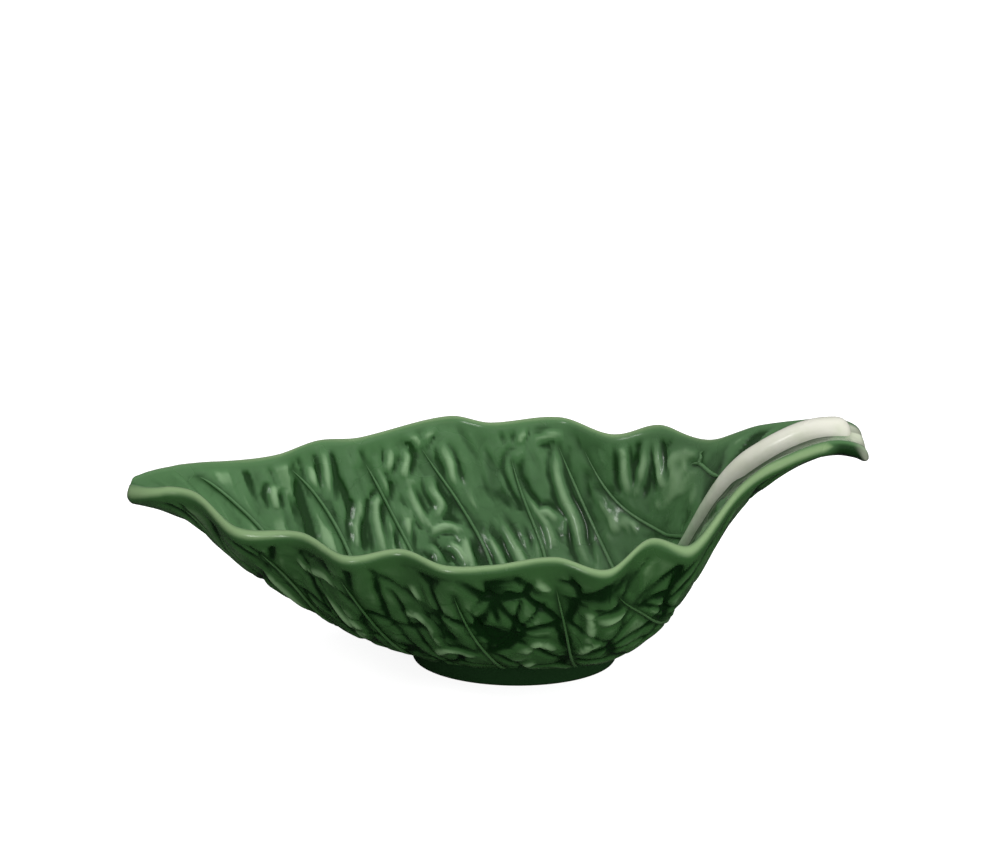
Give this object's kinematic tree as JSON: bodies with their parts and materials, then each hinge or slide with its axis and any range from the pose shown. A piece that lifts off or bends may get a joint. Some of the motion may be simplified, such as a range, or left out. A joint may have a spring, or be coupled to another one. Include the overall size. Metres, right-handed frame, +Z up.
{
  "type": "leaf-shaped serving boat",
  "caption": "Glazed earthenware serving boat shaped as a ruffled cabbage leaf, with a pouring tip, a curled handle with a pale stalk, and a low oval foot.",
  "frame": {"origin": "on the table, under the middle of the overall length and width", "axes": "+X along the midrib from the pouring tip to the handle, +Y across the bowl, +Z up"},
  "size_m": [0.247, 0.1348, 0.0898],
  "materials": {
    "leaf_glaze": "glossy translucent green glaze, darker where it pools and yellow-green on the edge",
    "foot_glaze": "glossy dark green glaze with a wiped standing edge",
    "stalk_glaze": "glossy off-white glaze, turning pale green towards its lower end"
  },
  "bodies": {
    "root": {"leaf_bowl": "leaf_glaze", "foot_ring": "foot_glaze", "stalk": "stalk_glaze"}
  },
  "joints": []
}
